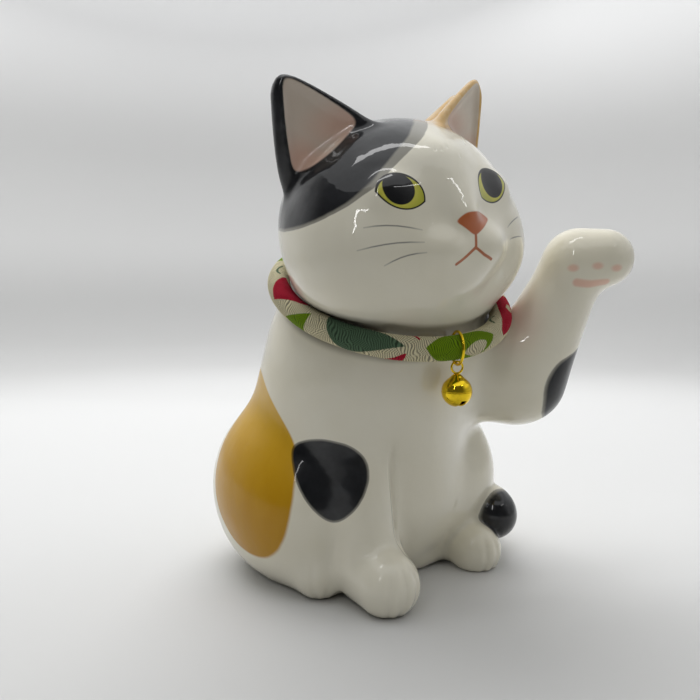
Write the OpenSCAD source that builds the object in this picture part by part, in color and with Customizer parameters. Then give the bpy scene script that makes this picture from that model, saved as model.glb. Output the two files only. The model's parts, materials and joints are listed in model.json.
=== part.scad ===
// Seated beckoning cat in glazed ceramic, with a padded cloth collar and a small jingle bell.
// The cat looks along -Y, its raised foreleg is on the +X side, and it stands on z = 0.

/* [Casting] */
// Wall thickness of the hollow casting
wall = 3.5; // [2.5:0.5:4]
// Diameter of the drain hole in the base
drain_d = 9; // [5:1:12]

/* [Head] */
// Width of the skull
head_w = 69; // [64:1:70]
// Depth of the skull from brow to nape
head_d = 62; // [58:1:64]
// Height of the skull
head_h = 58; // [54:1:60]
// Sideways tilt of the head in degrees, towards the planted foreleg
head_tilt = 7; // [0:1:9]
// Height of the ear tips above the head's centre
ear_h = 39; // [34:1:40]

/* [Raised foreleg] */
// How far the raised paw reaches forward of the head's centre
paw_reach = 29; // [24:1:31]
// Height of the raised paw above the base
paw_z = 99.5; // [96:0.5:102]

/* [Collar] */
// Radius of the collar's centreline
collar_r = 34; // [33.5:0.5:35]
// Diameter of the padded tube
collar_d = 7; // [6:0.5:7.5]
// Forward tilt of the collar in degrees
collar_tilt = 25; // [22:1:27]
// Sideways tilt of the collar in degrees
collar_roll = -5; // [-6:1:-3]

/* [Bell] */
// Outer diameter of the bell
bell_d = 8.5; // [7.5:0.5:9]
// Thickness of the bell's sheet brass
bell_t = 0.4; // [0.3:0.1:0.5]
// Wire diameter of the jump ring
ring_wire = 0.8; // [0.6:0.1:0.9]

/* [Hidden] */
big = 300;

white_glaze = "ivory";
gold = "gold";

head_c = [1.5, -29, 108];
collar_c = [4.5, -21.5, 88.5];
neck_r = 29.5;
collar_gap = 0.6;
drain_at = [6, 8, 0];

ring_slack = 0.65;
ring_gap = 0.13;
ring_r = collar_d / 2 + ring_slack + ring_wire / 2;
ring_drop = ring_slack - ring_gap;
ring_reach = ring_r + ring_wire / 2 + ring_drop;
ring_angle = -89;
ring_sweep = 40;
eye_wire = 0.6;
eye_r = 1.6;
eye_drop = eye_r - (eye_wire + ring_wire) / 2 - ring_gap;
shoulder_h = 0.9;
slot_w = 1.8;
slot_angle = -92;
slot_reach = 55;

// A point given in the collar's own frame, whose Z is the axis that the collar turns about.
function collar_point(p) =
    let (tx = collar_tilt, ty = collar_roll,
         q = [p.x, p.y * cos(tx) - p.z * sin(tx), p.y * sin(tx) + p.z * cos(tx)])
    collar_c + [q.x * cos(ty) + q.z * sin(ty), q.y, -q.x * sin(ty) + q.z * cos(ty)];
// The jump ring hangs on the tube here, so its own centre is a little lower.
ring_hang = collar_point(collar_r * [cos(ring_angle), sin(ring_angle), 0]);
ring_c = ring_hang - [0, 0, ring_drop];
// The loose ring has slewed round from square across the tube.
ring_slew = -18;
ring_heading = ring_slew + atan2(collar_point([-sin(ring_angle), cos(ring_angle), 0]).y - collar_c.y,
                                 collar_point([-sin(ring_angle), cos(ring_angle), 0]).x - collar_c.x);
hang_c = ring_c - [0, 0, ring_r];
eye_c = hang_c - [0, 0, eye_drop];
bell_c = eye_c - [0, 0, eye_r + shoulder_h + bell_d / 2 - 0.1];

// An ellipsoid with centre c and half-sizes r, made smaller all round by inset.
module ball(c, r, inset = 0) {
    translate(c) scale(r - inset * [1, 1, 1]) sphere(1, $fn = inset > 0 ? 14 : 26);
}

// Two spheres and the cone that is tangent to both, made smaller all round by inset.
module limb(a, b, ra, rb, inset = 0) {
    v = b - a;
    length = norm(v);
    lean = (ra - rb) / length;
    side = sqrt(1 - lean * lean);
    r1 = ra - inset;
    r2 = rb - inset;
    translate(a) rotate([0, acos(v.z / length), atan2(v.y, v.x)]) {
        $fn = inset > 0 ? 12 : 20;
        sphere(r1);
        translate([0, 0, length]) sphere(r2);
        translate([0, 0, r1 * lean])
            cylinder(h = length - (r1 - r2) * lean, r1 = r1 * side, r2 = r2 * side);
    }
}

// One ear: a thin leaf with a round rim, hollowed at the front.
module ear(side) {
    corners = [[side * 32.6, -1.5, ear_h], [side * 33.8, 1.5, ear_h - 12],
               [side * 30.5, 3, 11], [side * 9.5, -8, 24]];
    middle = (corners[0] + corners[1] + corners[2] + corners[3]) / 4;
    rim = 2.3;
    difference() {
        hull() for (p = corners) translate(p) sphere(rim, $fn = 12);
        translate([0, -2 * rim, 0]) hull() for (p = corners)
            translate(0.7 * p + 0.3 * middle) sphere(rim * 1.4, $fn = 10);
    }
}

module head(inset = 0) {
    translate(head_c) rotate([0, -head_tilt, 0]) {
        ball([0, 1, 1], [head_w, head_d, head_h] / 2, inset);
        for (side = [-1, 1]) ball([side * 13.5, -4, -8], [22.5, 23, 20], inset);
        ball([0, -8, -11], [20, 21, 17], inset);
        if (inset == 0) {
            for (side = [-1, 1]) {
                ball([side * 5.8, -26, -8], [8.5, 8.7, 6.5]);
                ear(side);
            }
            ball([0, -26, -13.5], [8, 6.6, 6]);
            limb([0, -20, 12], [0, -31.2, 0.6], 8, 3);
        }
    }
}

module torso(inset = 0) {
    limb([3, 0, 30], [1, -12, 70], 38, 30, inset);
    ball([4, 2, 28], [44, 36, 32], inset);
    ball([1, -16, 62], [32, 27, 30], inset);
    limb(collar_point([0, 0, -16]), collar_point([0, 0, 12]), 31, neck_r, inset);
    if (inset == 0) ball([15, -12, 5], [17, 15, 8]);
}

module haunches(inset = 0) {
    ball([31, -2, 27], [21.5, 30, 27], inset);
    ball([-23, -2, 25], [20, 32, 27], inset);
    limb([36, -14, 7], [32, -31, 5.5], 8.5, 8.4, inset);
    limb([-22, -12, 8], [-22, -25, 7.5], 9, 8.5, inset);
}

module planted_foreleg(inset = 0) {
    limb([-13, -20, 60], [-11.5, -34, 12], 15, 10, inset);
    limb([-10.5, -36, 9.5], [-10.5, -43, 8.2], 10.5, 9.8, inset);
}

module raised_foreleg(inset = 0) {
    elbow = [43, -38, 62];
    wrist = [51, -48, paw_z - 9.5];
    limb([26, -18, 68], [41, -35, 63], 20.5, 15, inset);
    limb(elbow, wrist, 14, 10, inset);
    if (inset == 0)
        limb([51, -50, paw_z - 3], [57, head_c.y - paw_reach, paw_z], 10.5, 8.5);
}

// The tail lies along the left haunch and its blunt tip ends above the hind foot.
module tail(inset = 0) {
    path = [[2, 32, 18], [22, 30, 12], [40, 18, 11], [49, 0, 11], [46, -16, 13]];
    radius = [12, 11, 10.5, 10, 9.5];
    for (i = [1:len(path) - 1]) limb(path[i - 1], path[i], radius[i - 1], radius[i], inset);
    ball([42, -24.5, 15], [8.5, 12, 9.5], inset);
}

module cast_form(inset = 0) {
    head(inset);
    torso(inset);
    haunches(inset);
    planted_foreleg(inset);
    raised_foreleg(inset);
    tail(inset);
}

module in_collar_frame() {
    translate(collar_c) rotate([0, collar_roll, 0]) rotate([collar_tilt, 0, 0]) children();
}

// The neck groove that the collar lies in, deeper at the front where the jump ring passes.
module neck_groove(margin) {
    in_collar_frame() {
        rotate_extrude($fn = 48) translate([collar_r, 0]) circle(collar_d / 2 + margin, $fn = 12);
        rotate([0, 0, ring_angle - ring_sweep]) rotate_extrude(angle = 2 * ring_sweep, $fn = 48)
            translate([collar_r, 0]) circle(ring_reach - 0.3 + margin, $fn = 12);
    }
}

module ceramic_body() {
    color(white_glaze) difference() {
        // resizing it to its own size makes the casting one closed skin
        resize([0, 0, 0]) difference() {
            cast_form();
            neck_groove(collar_gap);
            difference() {
                cast_form(wall);
                neck_groove(collar_gap + wall);
                translate([-big / 2, -big / 2, wall - big]) cube(big);
            }
            translate(drain_at - [0, 0, 30]) cylinder(h = 45, d = drain_d, $fn = 32);
        }
        translate([-big / 2, -big / 2, -big]) cube(big);
    }
}

module collar_sleeve() {
    color("beige") in_collar_frame() difference() {
        rotate_extrude($fn = 96) translate([collar_r, 0]) circle(collar_d / 2, $fn = 32);
        rotate_extrude($fn = 96) translate([collar_r, 0]) circle(collar_d / 2 - 0.6, $fn = 32);
    }
}

module collar_core() {
    color("white") in_collar_frame()
        rotate_extrude($fn = 96) translate([collar_r, 0]) circle(collar_d / 2 - 0.6, $fn = 32);
}

// Thread whipped round the two ends of the tube where they meet at the nape.
module collar_binding() {
    color("wheat") in_collar_frame() difference() {
        rotate([0, 0, 84]) rotate_extrude(angle = 12, $fn = 96)
            translate([collar_r, 0]) circle(collar_d / 2 + 0.25, $fn = 32);
        rotate_extrude($fn = 96) translate([collar_r, 0]) circle(collar_d / 2, $fn = 32);
    }
}

module torus(r, wire) {
    rotate_extrude($fn = 64) translate([r, 0]) circle(wire / 2, $fn = 24);
}

module jump_ring() {
    color(gold) translate(ring_c) rotate([90, 0, ring_heading + 90]) torus(ring_r, ring_wire);
}

module bell_eye() {
    color(gold) translate(eye_c) rotate([90, 0, ring_heading]) torus(eye_r, eye_wire);
}

module bell_half() {
    difference() {
        sphere(d = bell_d, $fn = 64);
        sphere(d = bell_d - 2 * bell_t, $fn = 64);
        translate([-big / 2, -big / 2, -big]) cube(big);
    }
}

// The half with the soldered shoulder that carries the eye.
module bell_upper_shell() {
    sink = 0.35;
    color(gold) translate(bell_c) {
        bell_half();
        translate([0, 0, bell_d / 2 - sink]) cylinder(h = shoulder_h + sink, r1 = 1.8, r2 = 0.8, $fn = 48);
    }
}

// The half with the sounding slot, which reaches up both sides to square ends.
module bell_lower_shell() {
    color(gold) translate(bell_c) rotate([0, 0, slot_angle]) difference() {
        mirror([0, 0, 1]) bell_half();
        translate([-bell_d, -slot_w / 2, -bell_d])
            cube([2 * bell_d, slot_w, bell_d - bell_d / 2 * cos(slot_reach)]);
    }
}

module bell_pellet() {
    pellet_d = 2.4;
    color("silver") translate(bell_c - [0, 0, bell_d / 2 - bell_t - pellet_d / 2 - 0.3])
        sphere(d = pellet_d, $fn = 32);
}

ceramic_body();
collar_sleeve();
collar_core();
collar_binding();
jump_ring();
bell_eye();
bell_upper_shell();
bell_lower_shell();
bell_pellet();
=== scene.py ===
"""Looks for the seated beckoning cat: glazed casting, padded crepe collar, jump ring and jingle bell.

Shapes are worked out in millimetres in the part's frame and become meshes in metres.
The casting and the bell are fields, negative inside and positive outside, and skin() meshes them.
"""
import json
import math

import bpy
import numpy as np
import openvdb
from mathutils import Matrix, Vector


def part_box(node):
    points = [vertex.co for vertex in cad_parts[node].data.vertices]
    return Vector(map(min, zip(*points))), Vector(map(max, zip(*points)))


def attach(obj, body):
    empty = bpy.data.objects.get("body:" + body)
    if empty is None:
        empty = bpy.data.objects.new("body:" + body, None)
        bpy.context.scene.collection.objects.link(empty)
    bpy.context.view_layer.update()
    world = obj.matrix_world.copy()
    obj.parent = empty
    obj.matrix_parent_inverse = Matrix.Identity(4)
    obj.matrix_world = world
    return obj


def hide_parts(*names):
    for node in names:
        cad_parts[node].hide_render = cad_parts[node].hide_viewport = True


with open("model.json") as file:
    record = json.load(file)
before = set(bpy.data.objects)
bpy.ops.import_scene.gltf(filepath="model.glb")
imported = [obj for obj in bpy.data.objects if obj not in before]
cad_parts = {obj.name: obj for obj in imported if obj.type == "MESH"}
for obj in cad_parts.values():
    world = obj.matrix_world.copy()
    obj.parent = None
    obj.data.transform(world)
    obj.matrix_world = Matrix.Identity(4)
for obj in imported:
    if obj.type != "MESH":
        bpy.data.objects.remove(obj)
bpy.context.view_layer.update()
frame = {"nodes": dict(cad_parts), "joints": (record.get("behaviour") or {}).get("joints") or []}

MM = 0.001
JOINTS = {joint["name"]: joint for joint in frame["joints"]}


def mm(point):
    """A point of the frame, in millimetres."""
    return np.array(point, float) / MM


# ---------------------------------------------------------------- sizes, in millimetres
HEAD_C = np.array([1.5, -29.0, 108.0])
HEAD_TILT = math.radians(-7)
COLLAR_C = mm(JOINTS["collar_turn"]["pos_m"])
COLLAR_AXIS = np.array(JOINTS["collar_turn"]["axis"])
COLLAR_R = 34.0
TUBE_R = 3.5
COLLAR_GAP = 0.6
RING_SWEEP = math.radians(40)
BELL_HANG = mm(JOINTS["bell_swing"]["pos_m"])
# The bell swings about the line that its eye is square to, and the ring is square to the eye.
EYE_AXIS = np.array(JOINTS["bell_swing"]["axis"])
RING_AXIS = np.cross(EYE_AXIS, (0, 0, 1))
WIRE_R = 0.4
RING_R = 4.55
RING_CLEARANCE = 0.72
EYE_R = 1.6
EYE_WIRE_R = 0.3
BELL_R = 4.25
BELL_T = 0.4
SLOT_W = 1.8
SLOT_TURN = math.radians(-92)
SLOT_END = math.radians(58)
DRAIN_C = (6.0, 8.0)
DRAIN_R = 4.5
WALL = 3.5
SKIN_CELL = 0.85
# The collar's cloth is measured in mm along the tube from the nape, and in mm round it from its outer side.
TUBE_LENGTH = 2 * math.pi * COLLAR_R
TUBE_GIRTH = 2 * math.pi * TUBE_R
CREPE_PITCH = 0.68
CREPE_DEPTH = 0.085
# The front of an ear leaf has three edges, listed clockwise as start, end and bulge,
# in x and z from the head's centre. Its lining is painted inside them.
EAR_EDGES = (((12, 29.5), (32.5, 42.8), 0.45),
             ((34.6, 42), (33.6, 14), 0.95),
             ((30.5, 11), (9.5, 24), 0.3))
LINING_EDGES = (((13.8, 27.9), (32.8, 41.6), 0.6),
                ((33.2, 40), (31.2, 16), 0.6),
                ((29.6, 16.8), (14.5, 28.2), 0.3))
ELBOW_PATCH = (52, -46, 61.5)

# ---------------------------------------------------------------- colours
WHITE = (0.84, 0.80, 0.665)
CREAM = (0.64, 0.585, 0.39)
RED = (0.42, 0.002, 0.025)
FRESH_GREEN = (0.155, 0.27, 0.0)
DEEP_GREEN = (0.08, 0.14, 0.08)
SALMON = (0.80, 0.42, 0.30)
TERRACOTTA = (0.50, 0.135, 0.04)
SOFT_BLACK = (0.004, 0.004, 0.005)


def axes_from(z_axis, near_y):
    """A rotation whose columns are right, ahead and up, with up along z_axis."""
    z = np.array(z_axis, float) / np.linalg.norm(z_axis)
    x = np.cross(near_y, z)
    x /= np.linalg.norm(x)
    return np.column_stack([x, np.cross(z, x), z])


HEAD_AXES = np.array(Matrix.Rotation(HEAD_TILT, 3, "Y"))
COLLAR_AXES = axes_from(COLLAR_AXIS, (0, 1, 0))


# ---------------------------------------------------------------- fields
def ellipsoid(p, centre, radii):
    """Roughly the distance from an ellipsoid's surface."""
    radii = np.array(radii, np.float32)
    q = p - np.array(centre, np.float32)
    k0 = np.linalg.norm(q / radii, axis=1)
    k1 = np.linalg.norm(q / radii ** 2, axis=1)
    return k0 * (k0 - 1) / np.maximum(k1, 1e-6)


def limb(p, a, b, ra, rb):
    """Two balls and the cone that is tangent to both."""
    a, b = np.array(a, np.float32), np.array(b, np.float32)
    ba = b - a
    span = float(ba @ ba)
    step = ra - rb
    slant = span - step * step
    pa = p - a
    y = pa @ ba
    z = y - span
    x2 = ((pa * span - y[:, None] * ba) ** 2).sum(1)
    y2, z2 = y * y * span, z * z * span
    k = np.sign(step) * step * step * x2
    d = (np.sqrt(x2 * slant / span) + y * step) / span - ra
    d = np.where(np.sign(y) * slant * y2 < k, np.sqrt(x2 + y2) / span - ra, d)
    return np.where(np.sign(z) * slant * z2 > k, np.sqrt(x2 + z2) / span - rb, d)


def join(a, b, soft):
    """Both shapes, with a fillet where they meet."""
    h = np.maximum(soft - np.abs(a - b), 0) / soft
    return np.minimum(a, b) - h ** 3 * soft / 6


def carve(a, b, soft):
    """The first shape without the second, with a soft edge."""
    return -join(-a, b, soft)


def ease(x):
    """0 below 0, 1 above 1, and a smooth turn between them."""
    x = np.clip(x, 0, 1)
    return x * x * (3 - 2 * x)


def in_head(p):
    """Points as they lie from the head's centre, along its own tilted axes."""
    return (p - HEAD_C.astype(np.float32)) @ HEAD_AXES.astype(np.float32)


def in_collar(p):
    """Points as they lie from the collar's centre, with z along its axis."""
    return (p - COLLAR_C.astype(np.float32)) @ COLLAR_AXES.astype(np.float32)


def collar_point(x, y, z):
    return COLLAR_C + COLLAR_AXES @ np.array([x, y, z], float)


# ---------------------------------------------------------------- the casting
def arc_radius(half, sag):
    """Radius of an arc from half its chord and from how far it bulges."""
    return (half ** 2 + sag ** 2) / (2 * sag)


def arc(start, end, sag):
    """Centre and radius of the arc from start to end that bulges to its left by sag.
    A negative sag bulges the other way and gives a negative radius."""
    start, end = np.array(start, float), np.array(end, float)
    chord = end - start
    half = np.linalg.norm(chord) / 2
    radius = arc_radius(half, sag)
    out = np.array([-chord[1], chord[0]]) / (2 * half)
    return (start + end) / 2 - out * (radius - sag), radius


def outline(x, z, edges, soft):
    """Negative inside a flat shape with curved edges and soft corners."""
    d = None
    for edge in edges:
        (cx, cz), radius = arc(*edge)
        beyond = np.hypot(x - cx, z - cz) - radius
        d = beyond if d is None else -join(-d, -beyond, soft)
    return d


def slab(flat, off, thickness):
    """A sheet with round edges: flat is the distance from its outline, and off from its plane."""
    return np.where(flat < 0, np.abs(off), np.hypot(flat, off)) - thickness


def ear(q, side):
    """A thin leaf with convex edges and a round rim, hollowed at the front."""
    tip = np.array([side * 32.6, -1.5, 39])
    outer = np.array([side * 30.5, 3, 11])
    inner = np.array([side * 9.5, -8, 24])
    ahead = np.cross(inner - tip, outer - tip)
    ahead *= -np.sign(ahead[1]) / np.linalg.norm(ahead)
    off = (q - tip.astype(np.float32)) @ ahead.astype(np.float32)
    x, z = side * q[:, 0], q[:, 2]
    rim_r = 2.2
    cup_inset, cup_off, cup_r = 2.7, 4.6, 3.7
    leaf = slab(outline(x, z, EAR_EDGES, 8) + rim_r, off, rim_r)
    root = join(limb(q, (side * 21, 2, 19), tip + (-side * 0.5, 1, -2), 9, rim_r),
                limb(q, (side * 16.5, 6.5, 20), (side * 27.5, 2, 35.5), 8.3, 2.6), 5)
    cup = slab(outline(x, z, LINING_EDGES, 5) + cup_inset, off - cup_off, cup_r)
    return carve(join(leaf, root, 4), cup, 1.0)


def head(p):
    q = in_head(p)
    d = ellipsoid(q, (0, 1, 1), (34.5, 31, 29.8))
    for side in (-1, 1):
        d = join(d, ellipsoid(q, (side * 13.5, -6.5, -8), (22, 21.5, 20)), 12)
    d = join(d, ellipsoid(q, (0, -8, -11), (20, 21, 17)), 10)
    d = join(d, limb(q, (0, -20, 12), (0, -31.2, 0.6), 8, 3), 9)
    for side in (-1, 1):
        d = join(d, ellipsoid(q, (side * 5.8, -26, -8), (8.5, 8.7, 6.5)), 7)
    d = join(d, ellipsoid(q, (0, -26, -13.5), (8, 6.6, 6)), 7)
    for side in (-1, 1):
        d = join(d, ellipsoid(q, (side * 15, -22.6, 6.5), (7.6, 4.6, 6.4)), 4)
    for side in (-1, 1):
        d = join(d, ear(q, side), 4)
    return d


def torso(p):
    d = limb(p, (3, 0, 30), (1, -12, 70), 38, 30)
    d = join(d, ellipsoid(p, (4, 2, 28), (44, 36, 32)), 12)
    d = join(d, ellipsoid(p, (1, -16, 62), (32, 27, 30)), 12)
    d = join(d, limb(p, collar_point(0, 0, -16), collar_point(0, 0, 12), 31, 29.5), 10)
    return join(d, ellipsoid(p, (15, -12, 5), (17, 15, 8)), 6)


def toes(d, p, centre, radius, heading, half_width):
    """Presses soft grooves between four toes into the front of a paw."""
    depth, apart = 0.42, math.radians(30)
    q = p - np.array(centre, np.float32)
    turn = np.arctan2(q[:, 0], -q[:, 1]) - math.radians(heading)
    front = ease((np.cos(turn) - 0.35) / 0.4) * ease((q[:, 2] + radius) / 3)
    front = front * ease((radius * 0.9 - q[:, 2]) / (radius * 0.5))
    near = ease((radius * 2 - np.abs(q).max(1)) / radius)
    for step in (-1, 0, 1):
        away = (turn - step * apart) * radius
        d = d + depth * np.exp(-(away / half_width) ** 2) * front * near
    return d


def left_haunch(p):
    d = ellipsoid(p, (31, -2, 27), (21.5, 30, 27))
    foot = limb(p, (36, -14, 7), (32, -31, 5.5), 8.5, 8.4)
    return join(d, toes(foot, p, (32, -31, 5.5), 8.4, 15, 0.9), 5)


def right_haunch(p):
    d = ellipsoid(p, (-23, -2, 25), (20, 32, 27))
    foot = limb(p, (-22, -12, 8), (-22, -25, 7.5), 9, 8.5)
    return join(d, toes(foot, p, (-22, -25, 7.5), 8.5, -12, 0.9), 8)


def planted_foreleg(p):
    d = limb(p, (-13, -20, 60), (-12, -34.2, 12), 15, 9.6)
    paw = limb(p, (-10.5, -36, 8.8), (-10.8, -44.1, 7.7), 10, 9.3)
    return join(d, toes(paw, p, (-10.8, -44.1, 7.7), 9.3, 0, 1.0), 6)


def crease(p):
    """Depth of the line pressed between the planted foreleg and the belly."""
    x, y, z = p[:, 0], p[:, 1], p[:, 2]
    away = x + 4.6 + (z - 15) * 0.065
    return 0.9 * np.exp(-(away / 0.9) ** 2) * ease((-31 - y) / 5) * ease((z - 13) / 6) * ease((50 - z) / 9)


def raised_foreleg(p):
    d = limb(p, (26, -18, 68), (41, -35, 63), 20.5, 15)
    d = join(d, limb(p, (43, -38, 62), (51, -48, 90), 14, 10), 9)
    return join(d, limb(p, (52.3, -52, 97.8), (57, -58, 99), 10.4, 8.6), 6)


def tail(p):
    path = [(2, 32, 18), (22, 30, 12), (40, 18, 11), (49, 0, 11), (46, -16, 13)]
    radii = [12, 11, 10.5, 10, 9.5]
    d = ellipsoid(p, (42, -24.5, 15), (8.5, 12, 9.5))
    for i in range(len(path) - 1):
        d = join(d, limb(p, path[i], path[i + 1], radii[i], radii[i + 1]), 3)
    return d


def neck_groove(p):
    """Room for the collar, and at the front for the ring's way round it."""
    q = in_collar(p)
    across = np.hypot(q[:, 0], q[:, 1]) - COLLAR_R
    reach = np.hypot(across, q[:, 2])
    turn = np.abs(np.arctan2(q[:, 1], q[:, 0]) + math.pi / 2)
    ring_room = ease((RING_SWEEP - turn) / 0.12) * (RING_R + WIRE_R + RING_CLEARANCE - TUBE_R - COLLAR_GAP)
    return reach - TUBE_R - COLLAR_GAP - ring_room


def hand_wave(p):
    """The slight unevenness of a slip casting, in millimetres."""
    x, y, z = p[:, 0], p[:, 1], p[:, 2]
    wave = np.sin(x / 2.9 + 1.1 * np.sin(z / 5.3)) * np.sin(z / 3.7 + 0.8 * np.sin(y / 4.9))
    return 0.035 * wave + 0.03 * np.sin(y / 3.3 + 0.9 * np.sin(x / 6.1)) * np.sin(z / 6.7 + 1.7)


def cat(p):
    d = torso(p)
    d = join(d, right_haunch(p), 9)
    d = join(d, left_haunch(p), 9)
    d = join(d, planted_foreleg(p), 5) + crease(p)
    d = join(d, raised_foreleg(p), 12)
    d = join(d, tail(p), 1.5)
    d = join(d, head(p), 6)
    d = carve(d + hand_wave(p), neck_groove(p), 1)
    drain = np.hypot(p[:, 0] - DRAIN_C[0], p[:, 1] - DRAIN_C[1]) - DRAIN_R
    drain = np.maximum(drain, p[:, 2] - 4 * WALL)
    return carve(carve(d, p[:, 2], 1), drain, 0.8)


# ---------------------------------------------------------------- meshes
def new_piece(name, points, faces, material):
    """An object made from points in millimetres and arrays of faces, one array for each number of corners."""
    faces = [np.asarray(part, np.int32) for part in faces]
    sizes = np.concatenate([np.full(len(part), part.shape[1]) for part in faces])
    corners = np.concatenate([part.ravel() for part in faces])
    mesh = bpy.data.meshes.new(name)
    mesh.vertices.add(len(points))
    mesh.vertices.foreach_set("co", (np.asarray(points, np.float32) * MM).ravel())
    mesh.loops.add(len(corners))
    mesh.loops.foreach_set("vertex_index", corners)
    mesh.polygons.add(len(sizes))
    mesh.polygons.foreach_set("loop_start", (np.cumsum(sizes) - sizes).astype(np.int32))
    mesh.update(calc_edges=True)
    mesh.validate()
    mesh.shade_smooth()
    mesh.materials.append(material)
    piece = bpy.data.objects.new(name, mesh)
    bpy.context.scene.collection.objects.link(piece)
    return piece


def belt(rows, around, closed):
    """Four-cornered faces between rows of points that each go all the way round."""
    count = rows if closed else rows - 1
    i, j = (grid.ravel() for grid in np.meshgrid(np.arange(count), np.arange(around), indexing="ij"))
    ahead, beside = (i + 1) % rows * around, (j + 1) % around
    return np.stack([i * around + j, ahead + j, ahead + beside, i * around + beside], 1)


def wire(name, path, radius, sides, material, closed=False):
    """A round wire along a path; open ends are cut square."""
    path = np.asarray(path, float)
    ahead = np.roll(path, -1, 0) - np.roll(path, 1, 0) if closed else np.gradient(path, axis=0)
    ahead /= np.linalg.norm(ahead, axis=1)[:, None]
    side = np.cross(ahead[0], (0.3, 0.5, 0.81))
    turn = np.linspace(0, 2 * math.pi, sides, endpoint=False)
    rows = []
    for place, way in zip(path, ahead):
        side = side - way * (side @ way)
        side /= np.linalg.norm(side)
        round_it = np.cos(turn)[:, None] * side + np.sin(turn)[:, None] * np.cross(way, side)
        rows.append(place + radius * round_it)
    faces = [belt(len(path), sides, closed)]
    if not closed:
        last = (len(path) - 1) * sides
        faces.append(np.array([np.arange(sides)[::-1], last + np.arange(sides)]))
    return new_piece(name, np.concatenate(rows), faces, material)


def in_batches(field, points):
    """A field's values, worked out for a limited number of points at a time."""
    size = 200000
    return np.concatenate([field(points[i:i + size]) for i in range(0, len(points), size)])


def slope_at(field, points, d, nudge):
    """How steeply a field rises along x, y and z at points where its value is d."""
    steps = nudge * np.eye(3, dtype=np.float32)
    return np.stack([in_batches(field, points + step) - d for step in steps], 1) / nudge


def skin(field, low, high, cell):
    """Points and four-cornered faces of a field's zero surface, meshed on a grid of cubes
    and then moved onto the true surface. Blocks of cubes far from it are filled in coarsely."""
    block = 4
    low, high = np.array(low, float), np.array(high, float)
    blocks = np.ceil((high - low) / (cell * block)).astype(int)
    corners = np.stack(np.meshgrid(*[np.arange(n) for n in blocks], indexing="ij"), -1).reshape(-1, 3)
    centres = (low + (corners + 0.5) * block * cell).astype(np.float32)
    coarse = in_batches(field, centres)
    near = np.abs(coarse) < 1.5 * block * cell
    grid = np.repeat(coarse.reshape(blocks), block, 0).repeat(block, 1).repeat(block, 2).astype(np.float32)
    inside = np.stack(np.meshgrid(*[np.arange(block)] * 3, indexing="ij"), -1).reshape(-1, 3)
    index = (corners[near][:, None] * block + inside).reshape(-1, 3)
    places = (low + (index + 0.5) * cell).astype(np.float32)
    grid[tuple(index.T)] = in_batches(field, places)
    volume = openvdb.FloatGrid(cell)
    volume.copyFromArray(grid, tolerance=0)
    points, quads = volume.convertToQuads(isovalue=0)
    points = (low + (points + 0.5) * cell).astype(np.float32)
    nudge = 0.05 * cell
    for _ in range(3):
        d = in_batches(field, points)
        slope = slope_at(field, points, d, nudge)
        move = np.clip(d / np.maximum((slope ** 2).sum(1), 0.05), -cell / 2, cell / 2)
        points = points - move[:, None] * slope
    a, b, c = (points[quads[:, i]] for i in range(3))
    out = np.cross(b - a, c - a)
    if (out * slope_at(field, a, in_batches(field, a), nudge)).sum() < 0:
        quads = quads[:, ::-1]
    return points, quads


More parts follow.
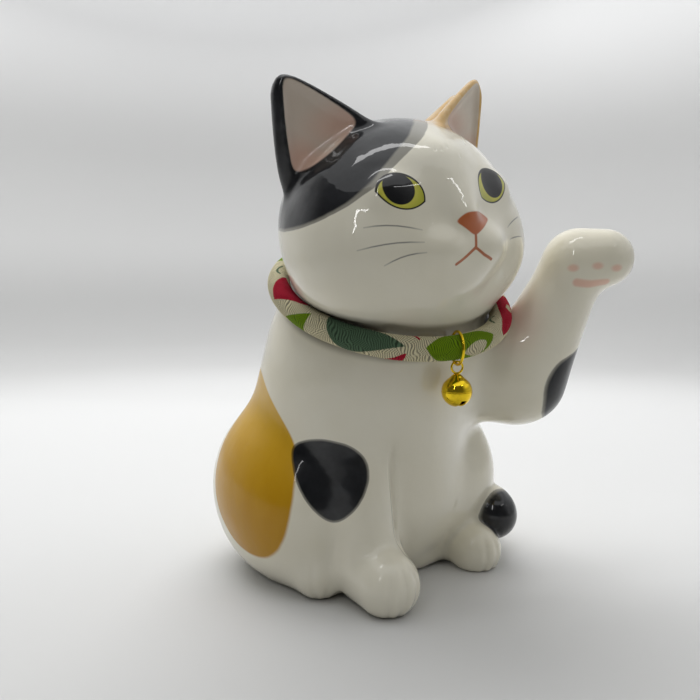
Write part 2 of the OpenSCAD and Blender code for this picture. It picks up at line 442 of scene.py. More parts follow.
# ---------------------------------------------------------------- material nodes
class Paint:
    """One material's node tree. Each method adds a node and returns what comes out of it."""

    def __init__(self, name):
        self.material = bpy.data.materials.new(name)
        self.material.use_nodes = True
        self.tree = self.material.node_tree
        self.shader = self.tree.nodes["Principled BSDF"]

    def node(self, kind, inputs=(), **settings):
        node = self.tree.nodes.new("ShaderNode" + kind)
        for key, value in settings.items():
            setattr(node, key, value)
        for key, value in dict(inputs).items():
            self.plug(node.inputs[key], value)
        return node

    def plug(self, socket, value):
        if isinstance(value, bpy.types.NodeSocket):
            self.tree.links.new(value, socket)
        elif hasattr(value, "__len__") and len(value) == 3 and socket.type == "RGBA":
            socket.default_value = (*value, 1)
        else:
            socket.default_value = value

    def set(self, **values):
        """Shader inputs; underscores stand for spaces."""
        for key, value in values.items():
            self.plug(self.shader.inputs[key.replace("_", " ")], value)

    def math(self, operation, *values):
        return self.node("Math", enumerate(values), operation=operation).outputs[0]

    def add(self, a, b):
        return self.math("ADD", a, b)

    def less(self, a, b):
        return self.math("SUBTRACT", a, b)

    def times(self, a, b):
        return self.math("MULTIPLY", a, b)

    def vector(self, operation, *values):
        node = self.node("VectorMath", enumerate(values), operation=operation)
        return node.outputs["Value" if operation in ("LENGTH", "DISTANCE", "DOT_PRODUCT") else "Vector"]

    def fade(self, value, start, end, low=0.0, high=1.0):
        """low before start, high after end, and a smooth turn between them."""
        node = self.node("MapRange", interpolation_type="SMOOTHSTEP")
        for i, v in enumerate((value, start, end, low, high)):
            self.plug(node.inputs[i], v)
        return node.outputs[0]

    def mix(self, amount, under, over):
        node = self.node("Mix", data_type="RGBA")
        for i, v in ((0, amount), (6, under), (7, over)):
            self.plug(node.inputs[i], v)
        return node.outputs[2]

    def place(self, centre=(0, 0, 0), rotation=(0, 0, 0)):
        """Object coordinates in millimetres, from centre and turned by rotation."""
        where = self.node("TexCoord").outputs["Object"]
        return self.node("Mapping", {"Vector": where, "Location": Vector(centre) * MM, "Rotation": rotation,
                                     "Scale": (MM, MM, MM)}, vector_type="TEXTURE").outputs[0]

    def parts(self, vector):
        return self.node("SeparateXYZ", {0: vector}).outputs

    def scaled(self, vector, amount):
        """A vector or a colour made amount times as long."""
        return self.node("VectorMath", {0: vector, "Scale": amount}, operation="SCALE").outputs[0]

    def noise(self, vector, size, detail=2.0, roughness=0.5):
        """Noise from 0 to 1 whose features are about size across."""
        return self.node("TexNoise", {"Vector": vector, "Scale": 1 / size, "Detail": detail,
                                      "Roughness": roughness}).outputs[0]

    def ball(self, vector, centre, radii, soft):
        """1 inside an ellipsoid and 0 outside it; soft is the share of the radius that the edge takes."""
        off = self.vector("DIVIDE", self.vector("SUBTRACT", vector, centre), radii)
        return self.fade(self.vector("LENGTH", off), 1 - soft, 1 + soft, 1, 0)

    def stroke(self, vector, points, half_width, soft=0.12):
        """1 near a line through points and 0 away from it."""
        nearest = None
        for a, b in zip(points, points[1:]):
            side = Vector(b) - Vector(a)
            off = self.vector("SUBTRACT", vector, a)
            along = self.math("DIVIDE", self.vector("DOT_PRODUCT", off, tuple(side)), side.length_squared)
            along = self.node("Clamp", {0: along}).outputs[0]
            d = self.vector("DISTANCE", off, self.scaled(tuple(side), along))
            nearest = d if nearest is None else self.math("MINIMUM", nearest, d)
        return self.fade(nearest, half_width - soft, half_width + soft, 1, 0)

    def bump(self, height, distance, normal=None):
        """The normal over a height from 0 to 1 that stands for distance millimetres."""
        inputs = {"Height": height, "Distance": distance * MM, "Strength": 1.0}
        if normal is not None:
            inputs["Normal"] = normal
        return self.node("Bump", inputs).outputs[0]


def half_plane(n, vector, point, inward):
    """How far vector is on the inward side of a line or plane through point."""
    inward = Vector(inward).normalized()
    return n.less(n.vector("DOT_PRODUCT", vector, tuple(inward)), inward.dot(Vector(point)))


def smooth_least(n, values, soft):
    """The least of the values, with a rounded turn from one to the next."""
    least = values[0]
    for value in values[1:]:
        least = n.math("SMOOTH_MIN", least, value, soft)
    return least


def glaze():
    """White glaze with the painted coat, eyes, nose, mouth and whiskers under it."""
    n = Paint("glazed_ceramic")
    body = n.place()
    face = n.place(HEAD_C, (0, HEAD_TILT, 0))
    flat = n.vector("MULTIPLY", face, (1, 0, 1))
    ahead = n.parts(face)[1]
    brush = n.noise(body, 5, 3, 0.6)
    wobble = n.times(n.less(n.noise(body, 6, 2), 0.5), 1.6)
    colour = n.mix(n.fade(n.noise(body, 24, 3), 0.35, 0.7), WHITE, (0.82, 0.775, 0.63))
    colour = ochre(n, body, face, wobble, colour)
    colour = blushes(n, body, colour)
    colour = black_coat(n, body, face, brush, wobble, colour)
    colour = ear_linings(n, face, brush, colour)
    front = n.fade(ahead, -14, -13, 1, 0)
    colour = eye(n, flat, front, brush, colour, (-16.1, 8.7), -1)
    colour = eye(n, flat, front, brush, colour, (13.6, 8.6), 1)
    colour = nose_and_mouth(n, flat, front, colour)
    colour = whiskers(n, flat, front, colour)
    groove = neck_groove_shade(n, body)
    # Painted shade: deep in the neck groove the colour is darkened towards dark brown, in place of the shadow
    # between the collar and the chin.
    colour = n.mix(n.times(groove, 0.65), colour, (0.12, 0.105, 0.08))
    foot = n.fade(n.parts(body)[2], 0.15, 0.45, 1, 0)
    colour = n.mix(foot, colour, n.mix(n.noise(body, 0.5, 3), (0.66, 0.60, 0.50), (0.74, 0.69, 0.60)))
    ripple = n.bump(n.noise(body, 6, 2, 0.4), 0.16)
    normal = n.bump(hair_tufts(n, face), 0.10, ripple)
    n.set(Base_Color=colour, Normal=normal, Coat_Normal=normal)
    n.set(Roughness=n.fade(foot, 0, 1, 0.32, 0.85), IOR=1.5, Specular_IOR_Level=0.15)
    n.set(Coat_Weight=n.less(1.0, dullness(n, body, foot, groove)), Coat_Roughness=0.03, Coat_IOR=1.5)
    return n.material


def dullness(n, body, foot, groove):
    """How much of the glossy coat is missing: all on the bare foot, most in the neck groove,
    and some over the elbow and flank patches."""
    dull = n.math("MAXIMUM", foot, n.times(groove, 0.8))
    for centre, radii in ((ELBOW_PATCH, (17, 13, 15)), ((-38, -8, 38), (18, 26, 33))):
        dull = n.math("MAXIMUM", dull, n.times(n.ball(body, centre, radii, 0.1), 0.6))
    return dull


def neck_groove_shade(n, body):
    """1 deep in the groove that the collar lies in, where the glaze stays thin and the colour is darkened as
    painted shade.
    """
    turned = n.vector("SUBTRACT", body, tuple(COLLAR_C))
    x, y, z = (n.vector("DOT_PRODUCT", turned, tuple(COLLAR_AXES[:, i])) for i in range(3))
    across = n.less(n.math("SQRT", n.add(n.times(x, x), n.times(y, y))), COLLAR_R)
    reach = n.math("SQRT", n.add(n.times(across, across), n.times(z, z)))
    return n.times(n.fade(reach, TUBE_R + 1.2, TUBE_R + 3.6, 1, 0), n.fade(across, 1.5, 3.5, 1, 0))


def ochre(n, body, face, wobble, colour):
    """Airbrushed ochre on the left ear and temple, and an amber patch on the right flank."""
    pale, deep = (0.70, 0.41, 0.10), (0.52, 0.26, 0.0)
    ear_tip = n.ball(face, (25, 0, 33), (19, 14, 16), 0.3)
    crown = n.ball(face, (15, -7, 27), (15, 9, 6.5), 0.4)
    temple = n.stroke(face, ((20, -6, 26), (31, -6, 17), (34, -9, 6)), 4.6, 3.2)
    cover = n.math("MAXIMUM", n.math("MAXIMUM", ear_tip, crown), temple)
    spray = n.noise(n.vector("MULTIPLY", face, (1, 1, 0.4)), 3.5, 3, 0.6)
    colour = n.mix(n.times(cover, n.fade(spray, 0.3, 0.7, 0.7, 1.0)), colour, pale)
    flank = n.place((-34, -8.2, 38.4), (math.radians(-25), 0, 0))
    _, across, along = n.parts(flank)
    across = n.math("DIVIDE", across, n.fade(along, -25, 25, 19.5, 16))
    along = n.math("DIVIDE", along, 29.3)
    edge = n.math("SQRT", n.add(n.math("POWER", across, 2), n.math("POWER", along, 2)))
    edge = n.add(edge, n.times(wobble, 0.008))
    cover = n.times(n.fade(edge, 0.96, 1.0, 1, 0), n.fade(n.parts(body)[0], -25, -22, 1, 0))
    streak = n.noise(n.vector("MULTIPLY", body, (1, 1, 0.3)), 6, 4, 0.6)
    height = n.fade(n.add(n.parts(body)[2], n.times(streak, 24)), 32, 76)
    tone = n.mix(height, deep, (0.68, 0.41, 0.03))
    tone = n.mix(n.fade(streak, 0.4, 0.75, 0, 0.5), tone, (0.56, 0.29, 0.004))
    return n.mix(cover, colour, tone)


def blushes(n, body, colour):
    """Soft pink inside the raised foreleg's bend, and salmon toe beans and pad on its paw."""
    colour = n.mix(n.times(n.ball(body, (35, -44, 80), (7, 7, 9), 0.9), 0.35), colour, (0.72, 0.42, 0.36))
    for bean in ((44.1, -58, 95.9), (49.4, -62.2, 96.5), (54, -65.1, 95.9)):
        colour = n.mix(n.times(n.ball(body, bean, (1.5, 1.5, 1.0), 0.5), 0.6), colour, SALMON)
    pad = n.stroke(body, ((45.6, -58.2, 91.7), (49.2, -60.2, 91.2), (53.4, -61.8, 92.0)), 1.2, 0.5)
    return n.mix(n.times(pad, 0.7), colour, SALMON)


def black_coat(n, body, face, brush, wobble, colour):
    """Black glaze patches whose edges thin out to grey."""
    slant = n.math("SMOOTH_MAX", half_plane(n, face, (0, 0, 24.15), (-0.533, 0, 0.846)),
                   half_plane(n, face, (-17, 0, 13.6), (-0.75, 0, 0.9)), 3)
    slant = n.math("SMOOTH_MIN", slant, half_plane(n, face, (-35.9, 0, 1.4), (-0.436, 0, 0.9)), 2)
    crown = half_plane(n, face, (7, 0, 0), (-1, 0, 0.15))
    nape = half_plane(n, face, (0, 21, 0), (0, -1, 0))
    cap = smooth_least(n, [slant, crown, nape], 5)
    chest = n.place((-22.6, -33.9, 36.5), (0, 0, math.radians(-44)))
    x, _, z = n.parts(chest)
    egg = n.add(edges_depth(n, x, z, (((-12.4, 8.4), (7.6, 8), 2.7), ((7.6, 8), (0, -11.8), 5.2),
                                      ((0, -11.8), (-12.4, 8.4), 2.3)), 3.5), 0.5)
    egg = n.math("MINIMUM", egg, half_plane(n, body, (-4, -14, 0), (-0.7, -0.7, 0)))
    elbow = n.vector("DIVIDE", n.vector("SUBTRACT", body, ELBOW_PATCH), (15.2, 11, 13))
    elbow = n.times(n.less(1, n.vector("LENGTH", elbow)), 10)
    tail_tip = n.vector("DIVIDE", n.vector("SUBTRACT", body, (42.5, -31, 15.0)), (8.5, 9, 8.6))
    tail_tip = n.times(n.less(1, n.vector("LENGTH", tail_tip)), 7)
    band = n.fade(n.parts(face)[0], -34, 4, 0.6, 2.8)
    tone = n.mix(n.fade(brush, 0.3, 0.8), (0.004, 0.0045, 0.006), (0.012, 0.013, 0.016))
    for depth, edge in ((cap, band), (egg, 0.45), (elbow, 0.4), (tail_tip, 0.45)):
        depth = n.add(depth, n.times(wobble, 0.25))
        thin = n.times(n.fade(depth, -0.15, 0.15), 0.66)
        full = n.times(n.fade(n.less(depth, edge), -0.35, 0.35), 0.34)
        colour = n.mix(n.add(thin, full), colour, tone)
    return colour


def edges_depth(n, x, z, edges, soft):
    """How deep a place lies inside a flat shape with curved edges, by nodes."""
    place = n.node("CombineXYZ", {0: x, 2: z}).outputs[0]
    depths = []
    for edge in edges:
        (cx, cz), radius = arc(*edge)
        away = n.vector("DISTANCE", place, (cx, 0, cz))
        depths.append(n.less(radius, away) if radius > 0 else n.add(radius, away))
    return smooth_least(n, depths, soft)


def ear_linings(n, face, brush, colour):
    """The pale taupe fronts of the ears, pink towards their corners, inside a painted rim."""
    flat = n.vector("MULTIPLY", face, (1, 0, 1))
    x, _, z = n.parts(face)
    for side, lining in ((-1, (0.60, 0.51, 0.42)), (1, (0.74, 0.68, 0.58))):
        depth = edges_depth(n, n.times(x, side), z, LINING_EDGES, 5)
        front = half_plane(n, face, (side * 24, -1.2, 27), (side * 0.38, -0.9, -0.1))
        inside = n.times(n.fade(depth, -0.2, 0.25), n.fade(front, -0.6, 0.4))
        inner, outer = (side * 16, 0, 28), (side * 29, 0, 19)
        pink = n.math("MAXIMUM", n.ball(flat, inner, (9, 5, 5), 0.8), n.ball(flat, outer, (5, 5, 6), 0.8))
        tone = n.mix(n.times(pink, 0.6), n.mix(brush, lining, (0.62, 0.53, 0.44)), (0.68, 0.38, 0.28))
        colour = n.mix(inside, colour, tone)
    return colour


def eye(n, flat, front, brush, colour, pupil, side):
    """A round pupil in a yellow-green iris, inside two arcs that meet at the corners."""
    x, z = pupil
    outer = Vector((x + side * 5.5, 0, z - 0.2))
    inner = Vector((x - side * 5.9, 0, z - 3.7))
    middle, half = (outer + inner) / 2, (outer - inner).length / 2
    up = Vector(((inner - outer).z * side, 0, abs((inner - outer).x))).normalized()
    lid = None
    for sag, way in ((5.95, 1), (3.1, -1)):
        radius = arc_radius(half, sag)
        centre = middle - up * (way * (radius - sag))
        beyond = n.less(n.vector("DISTANCE", flat, tuple(centre)), radius)
        lid = beyond if lid is None else n.math("MAXIMUM", lid, beyond)
    heavy = n.fade(n.parts(flat)[2], z, z + 4, 0.28, 0.62)
    opening = n.times(n.fade(lid, -0.15, 0.1, 1, 0), front)
    line = n.times(n.times(n.fade(lid, n.times(heavy, -1), n.add(n.times(heavy, -1), 0.22)),
                           n.fade(lid, 0.12, 0.32, 1, 0)), front)
    reach = n.vector("DISTANCE", flat, (x, 0, z))
    iris = n.mix(n.fade(reach, 3.6, 6.2), (0.64, 0.60, 0.09), (0.47, 0.47, 0.05))
    iris = n.mix(n.fade(brush, 0.45, 0.8, 0, 0.35), iris, (0.30, 0.33, 0.03))
    colour = n.mix(opening, colour, iris)
    colour = n.mix(n.times(n.fade(reach, 3.95, 4.2, 1, 0), opening), colour, SOFT_BLACK)
    return n.mix(line, colour, (0.012, 0.010, 0.009))


def nose_and_mouth(n, flat, front, colour):
    """A terracotta nose, and a fine line that forks under it."""
    sides = [half_plane(n, flat, (0, 0, 1.25), (0, 0, -1)),
             half_plane(n, flat, (-4.1, 0, -0.9), (0.67, 0, -0.74)),
             half_plane(n, flat, (-4.1, 0, -0.9), (0.62, 0, 0.78)),
             half_plane(n, flat, (8.6, 0, -0.9), (-0.54, 0, -0.84)),
             half_plane(n, flat, (8.6, 0, -0.9), (-0.47, 0, 0.88))]
    nose = n.times(n.fade(smooth_least(n, sides, 1.7), -0.15, 0.2), front)
    colour = n.mix(nose, colour, TERRACOTTA)
    forks = (((1.2, 0, -4.6), (0.5, 0, -8.0)),
             ((0.5, 0, -7.8), (-2.6, 0, -9.6), (-5.8, 0, -11.4)),
             ((0.5, 0, -7.8), (2.9, 0, -9.8), (5.6, 0, -11.3)))
    for points in forks:
        colour = n.mix(n.times(n.stroke(flat, points, 0.38, 0.14), front), colour, (0.46, 0.14, 0.05))
    return colour


def bend(a, b, c):
    """Points along the smooth curve that leaves a towards b and arrives at c."""
    steps = 5
    a, b, c = Vector(a), Vector(b), Vector(c)
    return [a.lerp(b, t).lerp(b.lerp(c, t), t) for t in (k / steps for k in range(steps + 1))]


def whiskers(n, flat, front, colour):
    """Thin grey strokes, three on the right cheek and two on the left, fading out at their ends."""
    strokes = (((-25.6, 0, 0), (-20, 0, 0.6), (-12.6, 0, -2)),
               ((-27.8, 0, -5.4), (-20.5, 0, -3.9), (-13, 0, -5.1)),
               ((-22.4, 0, -9.8), (-17.6, 0, -7.4), (-13, 0, -7.7)),
               ((16.8, 0, -3.6), (20, 0, -1.6), (25, 0, -0.9)),
               ((17.2, 0, -6.9), (20.5, 0, -6.1), (25, 0, -6.6)))
    for points in strokes:
        line = n.times(n.stroke(flat, bend(*points), 0.16, 0.14), front)
        start, end = Vector(points[0]), Vector(points[2])
        half = (end - start).length / 2
        away = n.vector("DISTANCE", flat, tuple((start + end) / 2))
        line = n.times(line, n.fade(away, half * 0.4, half * 1.05, 0.8, 0.3))
        colour = n.mix(line, colour, (0.13, 0.13, 0.13))
    return colour


def hair_tufts(n, face):
    """Height of the fine lines combed into the clay of the forehead."""
    lines = (((0.1, -18.8, 23.8), (-3.5, -26.3, 17.8)),
             ((4.1, -15.8, 25.2), (-1.8, -26.8, 17.7)),
             ((8.4, -13.5, 25.8), (0.3, -26.4, 18.4)),
             ((8.4, -16.1, 24.2), (3.3, -27.7, 15.7)),
             ((16, -10, 25.5), (11, -21, 20)))
    height = None
    for points in lines:
        ridge = n.stroke(face, points, 0.35, 0.35)
        height = ridge if height is None else n.math("MAXIMUM", height, ridge)
    return n.times(height, -1)


# The leaves of the print, each as its colour and its edges: start, end and bulge, clockwise,
# in mm along the cloth and mm round it. Where leaves lie over each other, the later one is on top.
LEAVES = (
    (FRESH_GREEN, ((23.5, 3), (29.5, 6), 0.3), ((29.5, 6), (28.6, 2), 0.2), ((28.6, 2), (23.5, 3), 0.3)),
    (RED, ((41, 7.4), (63, 9.6), 0.3), ((63, 9.6), (60.2, 4.8), 0.2),
     ((60.2, 4.8), (50.4, 0.2), -0.3), ((50.4, 0.2), (41, 7.4), 0.9)),
    (FRESH_GREEN, ((57, -1.4), (65.2, 3.6), 0.2), ((65.2, 3.6), (63.8, -3.8), 0.2),
     ((63.8, -3.8), (57, -1.4), 0.5)),
    (DEEP_GREEN, ((66.5, 7.6), (91.2, 2), 2.2), ((91.2, 2), (77.4, -4), -0.7),
     ((77.4, -4), (72.8, -0.6), 0.3), ((72.8, -0.6), (66.5, 7.6), 0.2)),
    (RED, ((86, -4.4), (91.6, 0.4), 0.3), ((91.6, 0.4), (90.6, -4.6), 0.2), ((90.6, -4.6), (86, -4.4), 0.2)),
    (FRESH_GREEN, ((96.2, 2), (118.4, 2.6), 4.2), ((118.4, 2.6), (108.6, -3.8), 1.1),
     ((108.6, -3.8), (100.3, -2.4), 0.3), ((100.3, -2.4), (96.2, 2), 0.3)),
    (CREAM, ((107, 0), (114.9, 1.8), 1.5), ((114.9, 1.8), (112.4, -2.4), 0.6),
     ((112.4, -2.4), (107, 0), 0.4)),
    (RED, ((120.2, 0.8), (143.6, 7.4), 1.8), ((143.6, 7.4), (144.6, 0.4), 0.6),
     ((144.6, 0.4), (120.2, 0.8), 0.6)),
    (CREAM, ((125.5, 2.8), (138.6, 4.2), 0.9), ((138.6, 4.2), (138.4, 2.0), 0.4),
     ((138.4, 2.0), (125.5, 2.8), 0.3)),
)
VEINS = (
    (DEEP_GREEN, (34, 0, 5.6), (37, 0, 3.2), (39.5, 0, 5.2)),
    (RED, (91, 0, 6.4), (93.6, 0, 6.6), (94.6, 0, 4.4)),
    (DEEP_GREEN, (123, 0, 5.4), (127, 0, 9.6), (129, 0, 7.4)),
)
# The print repeats along the cloth, in mm from the nape.
PRINT_START, PRINT_END = 22, 147
# The uv map holds the cloth's own mm, made this many times smaller.
CLOTH_SCALE = 100


def crepe():
    """Printed crepe: leaves in red and two greens on cream, over the cloth's fine slanting ripples, with
    painted shade in the ripples' valleys and painted highlight on their crests.
    """
    n = Paint("collar_cloth")
    cloth = n.scaled(n.node("UVMap", uv_map="cloth").outputs[0], CLOTH_SCALE)
    along, round_, _ = n.parts(cloth)
    along = n.math("WRAP", along, PRINT_END, PRINT_START)
    print_ = n.node("CombineXYZ", {0: along, 2: round_}).outputs[0]
    ragged = n.times(n.less(n.noise(print_, 0.5, 2), 0.5), 0.5)
    colour = CREAM
    for tone, *edges in LEAVES:
        depth = n.add(edges_depth(n, along, round_, edges, 0.5), ragged)
        colour = n.mix(n.fade(depth, -0.12, 0.12), colour, tone)
    for tone, *points in VEINS:
        colour = n.mix(n.stroke(print_, bend(*points), 0.35, 0.15), colour, tone)
    ripple = n.node("Attribute", attribute_name="ripple").outputs["Fac"]
    weave = n.noise(cloth, 0.22, 3, 0.7)
    # Painted shade and highlight: the colour is made darker in the ripples' valleys and lighter on their
    # crests; the weave noise adds an uneven thread tone.
    shade = n.times(n.fade(ripple, -0.7, 0.5, 0.36, 1.15), n.fade(weave, 0.25, 0.75, 0.8, 1.15))
    n.set(Base_Color=n.scaled(colour, shade), Normal=n.bump(weave, 0.04))
    n.set(Roughness=0.85, Specular_IOR_Level=0.2, Sheen_Weight=0.03)
    return n.material


def thread():
    """Fine twisted cotton thread."""
    n = Paint("collar_thread")
    fibre = n.noise(n.place(), 0.15, 3, 0.7)
    n.set(Base_Color=n.mix(n.fade(fibre, 0.3, 0.7), (0.46, 0.40, 0.26), (0.68, 0.62, 0.45)))
    n.set(Roughness=0.8, Normal=n.bump(fibre, 0.03))
    return n.material


def metal(name, colour, roughness):
    """Bright metal with a faint haze and small dents."""
    n = Paint(name)
    here = n.place()
    haze = n.noise(here, 1.2, 3)
    shade = n.mix(n.fade(haze, 0.3, 0.8), colour, tuple(c * 0.82 for c in colour))
    n.set(Base_Color=shade, Metallic=1.0, Roughness=n.fade(haze, 0.3, 0.8, roughness, roughness * 1.8))
    n.set(Normal=n.bump(n.noise(here, 0.8, 2), 0.01))
    return n.material


def table_top():
    """Pale board and wall, with painted light and shade: the board is painted darker towards the camera, the
    wall lighter higher up, and the wall on the camera's side nearly black, like the open side of a light
    tent.
    """
    n = Paint("studio_sweep")
    here = n.place()
    far = n.vector("LENGTH", n.vector("MULTIPLY", here, (1, 1, 0)))
    nearer = n.vector("DOT_PRODUCT", here, (-0.5, -0.86, 0))
    height = n.parts(here)[2]
    # Painted shade: the board darkens towards the camera, away from the lamps behind.
    board = n.mix(n.fade(nearer, -60, 240), (0.68, 0.68, 0.675), (0.50, 0.50, 0.49))
    # Painted light: the wall is lighter higher up, as if lit from above.
    wall = n.mix(n.fade(height, 60, 170), (0.42, 0.42, 0.415), (0.54, 0.54, 0.535))
    wall = n.mix(n.fade(height, 280, 560), wall, (0.92, 0.92, 0.92))
    beside = n.vector("DOT_PRODUCT", here, (-0.75, -0.66, 0))
    # Painted shade: the wall on the camera's side is dark, standing in for the open side of a light tent.
    wall = n.mix(n.fade(beside, -50, 600), wall, (0.10, 0.10, 0.10))
    n.set(Base_Color=n.mix(n.fade(far, 350, 850), board, wall), Roughness=0.6)
    return n.material


# ---------------------------------------------------------------- pieces
def casting():
    margin = 2
    low, high = (mm(corner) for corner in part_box("ceramic_body"))
    points, quads = skin(cat, low - margin, high + margin, SKIN_CELL)
    piece = new_piece("casting", points, [quads], glaze())
    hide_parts("ceramic_body")
    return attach(piece, "figurine")


def tube_places(along, round_, radius):
    """Points of the collar's tube, from mm along it, mm round it and the distance from its centre line."""
    turn = along / COLLAR_R + math.pi / 2
    lift = round_ / TUBE_R
    reach = COLLAR_R + radius * np.cos(lift)
    return np.stack([reach * np.cos(turn), reach * np.sin(turn), radius * np.sin(lift)], -1)


def tube_grid(rows, around):
    """Rows of places on the tube's cloth, in mm along it and mm round it."""
    along, round_ = np.linspace(0, TUBE_LENGTH, rows), np.arange(around) / around * TUBE_GIRTH
    return np.meshgrid(along, round_, indexing="ij")


def stuffed_tube(rows, around):
    """How far each point of the cloth tube stands out of its round form, from a cloth simulation.
    The cloth is cut longer than the tube's inner side needs, so it puckers there when it is filled."""
    bigger = 20 * MM
    start = TUBE_R - 0.25
    u, v = tube_grid(rows, around)
    flat = tube_places(u, v, start).reshape(-1, 3)
    piece = new_piece("cloth_trial", flat * bigger / MM, [belt(rows, around, False)], None)
    looseness = piece.vertex_groups.new(name="looseness")
    hold = piece.vertex_groups.new(name="hold")
    inner_side = (1 - np.cos(v / TUBE_R)) / 2
    for i, share in enumerate(inner_side.ravel()):
        looseness.add([i], float(share), "REPLACE")
        hold.add([i], 1.0 if i < around or i >= (rows - 1) * around else 0.02, "REPLACE")
    cloth = piece.modifiers.new("cloth", "CLOTH")
    cloth.settings.quality = 6
    cloth.settings.mass = 0.15
    cloth.settings.tension_stiffness = 25
    cloth.settings.compression_stiffness = 25
    cloth.settings.shear_stiffness = 10
    cloth.settings.bending_stiffness = 0.05
    cloth.settings.use_pressure = True
    cloth.settings.uniform_pressure_force = 4
    cloth.settings.shrink_min = -0.02
    cloth.settings.shrink_max = -0.16
    cloth.settings.vertex_group_shrink = looseness.name
    cloth.settings.vertex_group_mass = hold.name
    cloth.settings.effector_weights.gravity = 0
    scene = bpy.context.scene
    for step in range(1, 21):
        scene.frame_set(step)
    filled = piece.evaluated_get(bpy.context.evaluated_depsgraph_get()).data
    places = np.empty(len(filled.vertices) * 3, np.float32)
    filled.vertices.foreach_get("co", places)
    places = places.reshape(-1, 3) / bigger
    bpy.data.objects.remove(piece)
    scene.frame_set(1)
    reach = np.hypot(places[:, 0], places[:, 1]) - COLLAR_R
    return np.clip(np.hypot(reach, places[:, 2]) - TUBE_R, -0.3, 0.22).reshape(rows, around)


def spread(coarse, rows, around):
    """A coarse grid of heights, open along and closed round, filled in smoothly to rows by around."""
    u, v = np.linspace(0, len(coarse) - 1, rows), np.arange(around) / around * coarse.shape[1]
    i, j = np.minimum(u.astype(int), len(coarse) - 2), v.astype(int)
    a, b = ease(u - i)[:, None], ease(v - j)
    wide = np.concatenate([coarse, coarse[:, :1]], 1)
    low = wide[i][:, j] * (1 - b) + wide[i][:, j + 1] * b
    high = wide[i + 1][:, j] * (1 - b) + wide[i + 1][:, j + 1] * b
    return low * (1 - a) + high * a


def crepe_ripple(u, v):
    """Height of the cloth's fine ripples, from -1 to 1."""
    drift = 0.9 * np.sin(u / 2.7 + 1.3 * np.sin(v / 1.9)) + 0.6 * np.sin(v / 0.7 + 1.4 * np.sin(u / 1.3))
    drift = drift + 0.3 * np.sin(u / 0.8 + 2 * np.sin(v / 1.1 + u / 3.1))
    wave = np.sin(2 * math.pi * (u + 0.45 * v + 0.5 * drift) / CREPE_PITCH)
    return wave * (0.72 + 0.28 * np.sin(1.9 * u + 2 * np.sin(2.3 * v)) * np.sin(3.1 * v + 1.4 * u))


def collar():
    """The stuffed tube of crepe, with its lengthwise seam hidden inside the neck groove."""
    rows, around = 1700, 60
    seam_at, seam_width, seam_depth = 0.57 * TUBE_GIRTH, 0.25, 0.22
    tied_length, tied_depth = 5, 0.35
    u, v = tube_grid(rows, around)
    ripple = crepe_ripple(u, v)
    seam = np.exp(-((v - seam_at) / seam_width) ** 2)
    tied = np.maximum(0, 1 - np.minimum(u, TUBE_LENGTH - u) / tied_length) ** 2
    radius = TUBE_R - 0.09 + spread(stuffed_tube(214, 24), rows, around) + CREPE_DEPTH * ripple
    radius = radius - seam_depth * seam - tied_depth * tied
    points = tube_places(u, v, radius).reshape(-1, 3) @ COLLAR_AXES.T + COLLAR_C
    faces = belt(rows, around, False)
    ends = np.array([np.arange(around)[::-1], (rows - 1) * around + np.arange(around)])
    piece = new_piece("collar_cloth", points, [faces, ends], crepe())
    layer = piece.data.uv_layers.new(name="cloth")
    round_ = np.where(v > TUBE_GIRTH / 2, v - TUBE_GIRTH, v).ravel()
    corners = np.concatenate([faces.ravel(), ends.ravel()])
    places = np.stack([u.ravel()[corners], round_[corners]], 1)
    quad = places[:faces.size].reshape(-1, 4, 2)
    wraps = np.ptp(quad[:, :, 1], axis=1) > TUBE_GIRTH / 2
    quad[wraps, :, 1] = np.where(quad[wraps, :, 1] < 0, quad[wraps, :, 1] + TUBE_GIRTH, quad[wraps, :, 1])
    layer.data.foreach_set("uv", (places / CLOTH_SCALE).astype(np.float32).ravel())
    height = piece.data.attributes.new("ripple", "FLOAT", "POINT")
    height.data.foreach_set("value", ripple.astype(np.float32).ravel())
    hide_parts("collar_sleeve", "collar_core")
    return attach(piece, "collar")


def whipping():
    """Thread wound round the tube's two ends where they meet at the nape."""
    turns, steps, pitch, thread_radius = 12, 40, 0.5, 0.26
    k = np.arange(turns * steps + 1) / steps
    along = (k - turns / 2) * pitch
    path = tube_places(along, k * TUBE_GIRTH, np.full(len(k), TUBE_R - 0.05)) @ COLLAR_AXES.T + COLLAR_C
    piece = wire("collar_whipping", path, thread_radius, 8, thread())
    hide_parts("collar_binding")
    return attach(piece, "collar")


def gold_piece(piece, node, body):
    """Puts a piece of gilt brass in a node's place, on the body that it moves with."""
    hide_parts(node)
    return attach(piece, body)


def loop(centre, radius, normal):
    """Points of a closed upright ring."""
    steps = 96
    level = np.cross((0, 0, 1), normal)
    level /= np.linalg.norm(level)
    turn = np.linspace(0, 2 * math.pi, steps, endpoint=False)[:, None]
    return np.array(centre) + radius * (np.sin(turn) * level - np.cos(turn) * np.array([0, 0, 1]))


def jump_ring(gold):
    centre = BELL_HANG + np.array([0, 0, RING_R])
    ring = wire("jump_ring_wire", loop(centre, RING_R, RING_AXIS), WIRE_R, 20, gold, closed=True)
    return gold_piece(ring, "jump_ring", "ring")


def bell_eye(gold):
    low, high = (mm(corner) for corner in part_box("bell_eye"))
    path = loop((low + high) / 2, EYE_R, EYE_AXIS)
    eye_loop = wire("bell_eye_wire", path, EYE_WIRE_R, 16, gold, closed=True)
    return gold_piece(eye_loop, "bell_eye", "bell")


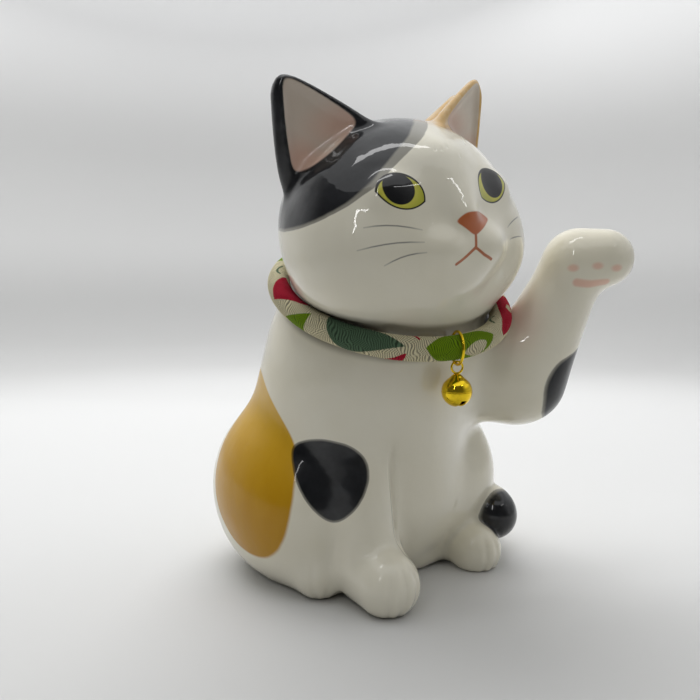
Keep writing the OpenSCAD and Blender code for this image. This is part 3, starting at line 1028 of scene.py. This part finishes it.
def bell_halves(gold):
    """The bell's two sheet halves, one with a soldered shoulder on top and one with the sounding slot."""
    low, high = (mm(corner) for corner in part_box("bell_upper_shell"))
    centre = np.array([(low[0] + high[0]) / 2, (low[1] + high[1]) / 2, low[2]], np.float32)
    shoulder_top = float(high[2] - low[2])
    shoulder_r, neck_r = 1.7, 0.75
    margin, cell, split_gap, edge = 0.3, 0.11, 0.01, 0.1

    def upper(p):
        q = p - centre
        out = np.linalg.norm(q, axis=1)
        shoulder = limb(q, (0, 0, BELL_R - 0.9), (0, 0, shoulder_top - neck_r), shoulder_r, neck_r)
        body = join(out - BELL_R, shoulder, 1.2)
        return carve(carve(body, out - BELL_R + BELL_T, edge), q[:, 2] - split_gap, 0.03)

    def lower(p):
        q = p - centre
        out = np.linalg.norm(q, axis=1)
        shell = carve(carve(out - BELL_R, out - BELL_R + BELL_T, edge), -q[:, 2] - split_gap, 0.03)
        across = q[:, 1] * math.cos(SLOT_TURN) - q[:, 0] * math.sin(SLOT_TURN)
        slot = np.maximum(np.abs(across) - SLOT_W / 2, q[:, 2] + BELL_R * math.cos(SLOT_END))
        return carve(shell, slot, edge)

    reach = BELL_R + margin
    for name, node, field, bottom, top in (
            ("bell_top", "bell_upper_shell", upper, -margin, shoulder_top + margin),
            ("bell_bottom", "bell_lower_shell", lower, -reach, margin)):
        points, quads = skin(field, centre + (-reach, -reach, bottom), centre + (reach, reach, top), cell)
        half = new_piece(name, points, [quads], gold)
        half.data.set_sharp_from_angle(angle=math.radians(50))
        gold_piece(half, node, "bell")


def pellet():
    looks = frame["nodes"]["bell_pellet"].data.materials
    looks.clear()
    looks.append(metal("steel_pellet", (0.55, 0.55, 0.56), 0.3))


# ---------------------------------------------------------------- studio
def sweep():
    """A round table top that curves up into a pale wall all round."""
    flat_radius, curve, wall_top, around = 600, 350, 1100, 96
    profile = [(flat_radius * share, 0) for share in (0, 0.25, 0.5, 0.75, 1)]
    for turn in np.linspace(0.1, math.pi / 2, 14):
        profile.append((flat_radius + curve * math.sin(turn), curve * (1 - math.cos(turn))))
    profile += [(flat_radius + curve, 600), (flat_radius + curve, wall_top)]
    turns = np.linspace(0, 2 * math.pi, around, endpoint=False)
    points = [(r * math.cos(turn), r * math.sin(turn), z) for r, z in profile for turn in turns]
    floor = new_piece("sweep", points, [belt(len(profile), around, False)[:, ::-1]], table_top())


def area_light(name, place, aim, size, power, mirrored=True):
    """A rectangular lamp; one that isn't mirrored lights the cat but leaves no reflection in the glaze."""
    data = bpy.data.lights.new(name, "AREA")
    data.shape = "RECTANGLE"
    data.size, data.size_y = size
    data.energy = power
    lamp = bpy.data.objects.new(name, data)
    lamp.location = place
    lamp.visible_glossy = mirrored
    lamp.rotation_euler = (Vector(aim) - Vector(place)).to_track_quat("-Z", "Y").to_euler()
    bpy.context.scene.collection.objects.link(lamp)


def lights():
    """An even pale world, two large soft lamps behind, a wash on the wall and two thin strips in front."""
    world = bpy.data.worlds.new("studio")
    world.use_nodes = True
    background = world.node_tree.nodes["Background"].inputs
    background["Color"].default_value = (0.97, 0.985, 1.0, 1)
    background["Strength"].default_value = 0.85
    bpy.context.scene.world = world
    area_light("overhead", (0.12, 0.42, 0.78), (0, 0.02, 0.05), (1.0, 0.7), 4.6, mirrored=False)
    area_light("softbox", (0.12, 0.42, 0.78), (0, 0.02, 0.05), (0.9, 0.6), 1.7)
    area_light("wall_wash", (-0.15, -0.05, 0.95), (0.15, 0.95, 0.7), (0.5, 0.3), 2.6)
    area_light("left_strip", (-0.42, -0.30, 0.42), (0, -0.03, 0.09), (0.02, 0.24), 0.2)
    area_light("right_strip", (0.10, -0.42, 0.46), (0, -0.03, 0.09), (0.16, 0.010), 0.05)


def camera():
    data = bpy.data.cameras.new("camera")
    data.lens = 36
    data.sensor_width = 36
    data.clip_start = 0.01
    eye_point = bpy.data.objects.new("camera", data)
    eye_point.location = (-0.1145, -0.2029, 0.0895)
    eye_point.rotation_euler = (math.radians(90 - 4.89), 0, math.radians(-30))
    bpy.context.scene.collection.objects.link(eye_point)
    bpy.context.scene.camera = eye_point


bpy.context.scene.view_settings.view_transform = "Standard"
camera()
lights()
sweep()
casting()
collar()
whipping()
gilt_brass = metal("gilt_brass", (1.0, 0.70, 0.03), 0.035)
jump_ring(gilt_brass)
bell_eye(gilt_brass)
bell_halves(gilt_brass)
pellet()
